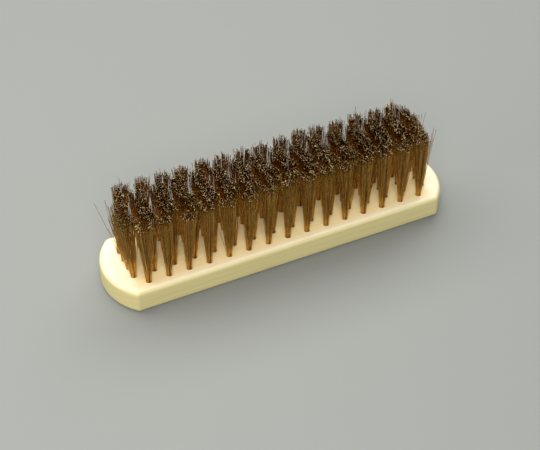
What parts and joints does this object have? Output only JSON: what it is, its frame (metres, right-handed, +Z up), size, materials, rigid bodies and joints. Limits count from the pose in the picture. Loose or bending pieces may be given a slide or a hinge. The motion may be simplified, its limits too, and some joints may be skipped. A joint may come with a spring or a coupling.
{
  "type": "wire brush",
  "caption": "Hand scrubbing brush for metalwork: a long wooden block with bowed ends, and rows of fanned bronze wire tufts standing on its top face.",
  "frame": {"origin": "middle of the block's flat underside", "axes": "+X along the block, +Y across it, +Z up out of the underside, the way the bristles point"},
  "size_m": [0.184, 0.044, 0.048],
  "materials": {
    "block_wood": "bare sanded hardwood",
    "bronze_wire": "drawn phosphor bronze wire, dull brown, with bright cut tips",
    "anchor_metal": "flat galvanised wire"
  },
  "bodies": {
    "root": {"wooden_block": "block_wood", "inner_tufts_column_01": "bronze_wire", "inner_tufts_column_02": "bronze_wire", "inner_tufts_column_03": "bronze_wire", "inner_tufts_column_04": "bronze_wire", "inner_tufts_column_05": "bronze_wire", "inner_tufts_column_06": "bronze_wire", "inner_tufts_column_07": "bronze_wire", "inner_tufts_column_08": "bronze_wire", "inner_tufts_column_09": "bronze_wire", "inner_tufts_column_10": "bronze_wire", "inner_tufts_column_11": "bronze_wire", "inner_tufts_column_12": "bronze_wire", "inner_tufts_column_13": "bronze_wire", "inner_tufts_column_14": "bronze_wire", "inner_tufts_column_15": "bronze_wire", "inner_tufts_column_16": "bronze_wire", "front_tuft_01": "bronze_wire", "front_tuft_02": "bronze_wire", "front_tuft_03": "bronze_wire", "front_tuft_04": "bronze_wire", "front_tuft_05": "bronze_wire", "front_tuft_06": "bronze_wire", "front_tuft_07": "bronze_wire", "front_tuft_08": "bronze_wire", "front_tuft_09": "bronze_wire", "front_tuft_10": "bronze_wire", "front_tuft_11": "bronze_wire", "front_tuft_12": "bronze_wire", "front_tuft_13": "bronze_wire", "front_tuft_14": "bronze_wire", "front_tuft_15": "bronze_wire", "back_tuft_01": "bronze_wire", "back_tuft_02": "bronze_wire", "back_tuft_03": "bronze_wire", "back_tuft_04": "bronze_wire", "back_tuft_05": "bronze_wire", "back_tuft_06": "bronze_wire", "back_tuft_07": "bronze_wire", "back_tuft_08": "bronze_wire", "back_tuft_09": "bronze_wire", "back_tuft_10": "bronze_wire", "back_tuft_11": "bronze_wire", "back_tuft_12": "bronze_wire", "back_tuft_13": "bronze_wire", "back_tuft_14": "bronze_wire", "back_tuft_15": "bronze_wire", "anchors_front_row": "anchor_metal", "anchors_inner_row_1": "anchor_metal", "anchors_inner_row_2": "anchor_metal", "anchors_inner_row_3": "anchor_metal", "anchors_inner_row_4": "anchor_metal", "anchors_back_row": "anchor_metal"}
  },
  "joints": []
}
